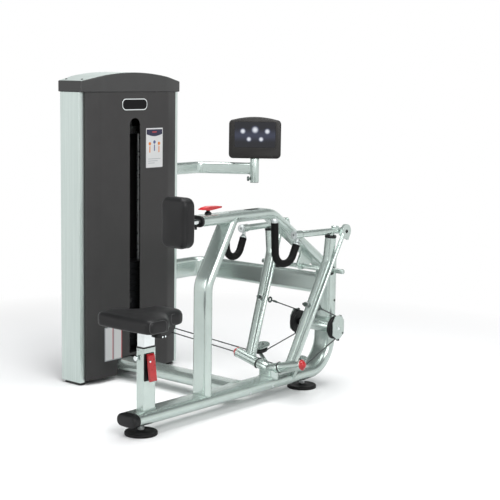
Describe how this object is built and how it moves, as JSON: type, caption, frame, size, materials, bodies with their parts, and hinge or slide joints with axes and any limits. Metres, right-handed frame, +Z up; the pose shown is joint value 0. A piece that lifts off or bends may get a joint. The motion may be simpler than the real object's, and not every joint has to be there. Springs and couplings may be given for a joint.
{
  "type": "seated row machine",
  "caption": "Selectorised seated row gym machine with chest pad, swinging arms, cable drive, shrouded weight tower and console.",
  "frame": {"origin": "on the floor under the middle of the front foot", "axes": "+X the way the user faces, +Y to the weight tower on the user's left, +Z up"},
  "size_m": [1.7191, 1.272, 1.6],
  "materials": {
    "silver_paint": "satin",
    "aluminium": "satin",
    "steel": "brushed",
    "chrome": "polished",
    "black_paint": "satin",
    "rubber": "matte",
    "nylon": "matte",
    "upholstery": "satin",
    "red_plastic": "gloss",
    "shroud_grey": "matte",
    "cap_grey": "satin",
    "plate_steel": "satin",
    "cable_black": "satin",
    "screen_glass": "gloss"
  },
  "bodies": {
    "frame": {"main_rail": "silver_paint", "rail_front_cap": "nylon", "foot_front": "rubber", "foot_rear": "rubber", "front_post": "silver_paint", "upper_rail": "silver_paint", "cross_rail": "silver_paint", "tower_brace": "silver_paint", "stop_bar": "silver_paint", "stop_bumper_left": "rubber", "stop_bumper_right": "rubber", "pivot_post": "silver_paint", "pulley_shaft": "silver_paint", "seat_post": "silver_paint", "pad_collar": "nylon", "tower_base": "black_paint", "tower_side_front": "aluminium", "tower_side_rear": "aluminium", "shroud_user_side": "shroud_grey", "shroud_far_side": "shroud_grey", "tower_cap": "cap_grey", "guide_frame": "steel", "plates_resting": "plate_steel", "cable_left": "cable_black", "cable_right": "cable_black", "arm_cable_left": "cable_black", "arm_cable_right": "cable_black", "lift_cable_stack": "cable_black", "lift_cable_over": "cable_black", "console_boom": "silver_paint"},
    "arm_left": {"arm_left": "silver_paint", "hub_cap_left": "red_plastic", "handle_bar_left": "silver_paint", "link_rod_left": "silver_paint", "cable_link_left": "steel"},
    "arm_right": {"arm_right": "silver_paint", "hub_cap_right": "red_plastic", "handle_bar_right": "silver_paint", "link_rod_right": "silver_paint", "cable_link_right": "steel"},
    "grip_left": {"grip_left": "rubber"},
    "grip_right": {"grip_right": "rubber"},
    "rear_pulley_left": {"rear_pulley_left": "nylon"},
    "rear_pulley_right": {"rear_pulley_right": "nylon"},
    "low_pulley_left": {"low_pulley_left": "nylon"},
    "low_pulley_right": {"low_pulley_right": "nylon"},
    "top_pulley_front": {"top_pulley_front": "nylon"},
    "top_pulley_rear": {"top_pulley_rear": "nylon"},
    "seat": {"seat_stem": "chrome", "seat_cushion": "upholstery"},
    "seat_lever": {"seat_lever": "red_plastic"},
    "pad": {"pad_stem": "chrome", "chest_pad": "upholstery"},
    "pad_lever": {"pad_lever": "red_plastic"},
    "carriage": {"top_plate": "plate_steel", "plates_lifted": "plate_steel"},
    "selector_pin": {"selector_pin": "red_plastic"},
    "float": {"float_block": "steel"},
    "console": {"console_housing": "nylon", "screen": "screen_glass"}
  },
  "joints": [
    {"name": "arm_left_pull", "type": "hinge", "parent": "frame", "child": "arm_left", "pos_m": [0.896, 0, 0.14492], "axis": [0, -0.9699, -0.2436], "range_deg": [0, 45], "deforming": ["arm_cable_left"]},
    {"name": "arm_right_pull", "type": "hinge", "parent": "frame", "child": "arm_right", "pos_m": [0.896, 0, 0.14492], "axis": [0, -0.9699, 0.2436], "range_deg": [0, 45], "deforming": ["arm_cable_right"]},
    {"name": "grip_left_swivel", "type": "hinge", "parent": "arm_left", "child": "grip_left", "pos_m": [0.862, 0.167, 0.838], "axis": [0.9952, 0.0972, -0.0118], "range_deg": [-70, 70]},
    {"name": "grip_right_swivel", "type": "hinge", "parent": "arm_right", "child": "grip_right", "pos_m": [0.862, -0.167, 0.838], "axis": [0.9952, -0.0972, -0.0118], "range_deg": [-70, 70]},
    {"name": "rear_pulley_left_spin", "type": "hinge", "parent": "frame", "child": "rear_pulley_left", "pos_m": [1.284, 0.121, 0.314], "axis": [0, 1, 0], "continuous": true},
    {"name": "rear_pulley_right_spin", "type": "hinge", "parent": "frame", "child": "rear_pulley_right", "pos_m": [1.284, -0.121, 0.314], "axis": [0, 1, 0], "continuous": true},
    {"name": "low_pulley_left_spin", "type": "hinge", "parent": "frame", "child": "low_pulley_left", "pos_m": [1.00842, 0.15947, 0.20323], "axis": [-0.1993, -0.0705, 0.9774], "continuous": true},
    {"name": "low_pulley_right_spin", "type": "hinge", "parent": "frame", "child": "low_pulley_right", "pos_m": [1.02269, -0.07731, 0.15457], "axis": [-0.3654, -0.0846, 0.927], "continuous": true},
    {"name": "top_pulley_front_spin", "type": "hinge", "parent": "frame", "child": "top_pulley_front", "pos_m": [0.7947, 0.906, 1.4], "axis": [0, 1, 0], "continuous": true},
    {"name": "top_pulley_rear_spin", "type": "hinge", "parent": "frame", "child": "top_pulley_rear", "pos_m": [0.9628, 0.906, 1.4], "axis": [0, 1, 0], "continuous": true},
    {"name": "seat_height", "type": "slide", "parent": "frame", "child": "seat", "axis": [0, 0, 1], "range_m": [-0.045, 0.11]},
    {"name": "seat_lever_pull", "type": "hinge", "parent": "frame", "child": "seat_lever", "pos_m": [0.022, -0.0293, 0.372], "axis": [-1, 0, 0], "range_deg": [0, 25], "stiffness_Nm_per_rad": 0.8},
    {"name": "pad_reach", "type": "slide", "parent": "frame", "child": "pad", "axis": [1, 0, 0], "range_m": [-0.07, 0.06]},
    {"name": "pad_lever_twist", "type": "hinge", "parent": "frame", "child": "pad_lever", "pos_m": [0.432, 0, 0.9573], "axis": [0, 0, 1], "range_deg": [0, 80]},
    {"name": "stack_lift", "type": "slide", "parent": "frame", "child": "carriage", "axis": [0, 0, 1], "range_m": [0, 0.5], "deforming": ["lift_cable_stack"]},
    {"name": "selector_pin_pull", "type": "slide", "parent": "carriage", "child": "selector_pin", "axis": [0, -1, 0], "range_m": [0, 0.06]},
    {"name": "float_travel", "type": "slide", "parent": "frame", "child": "float", "axis": [0, 0, 1], "range_m": [-0.5, 0]},
    {"name": "console_swivel", "type": "hinge", "parent": "frame", "child": "console", "pos_m": [1.498, 0.62, 1.13], "axis": [0, 0, 1], "range_deg": [-30, 30]}
  ],
  "couplings": [
    {"joint": "float_travel", "follows": "stack_lift", "ratio": -1}
  ]
}
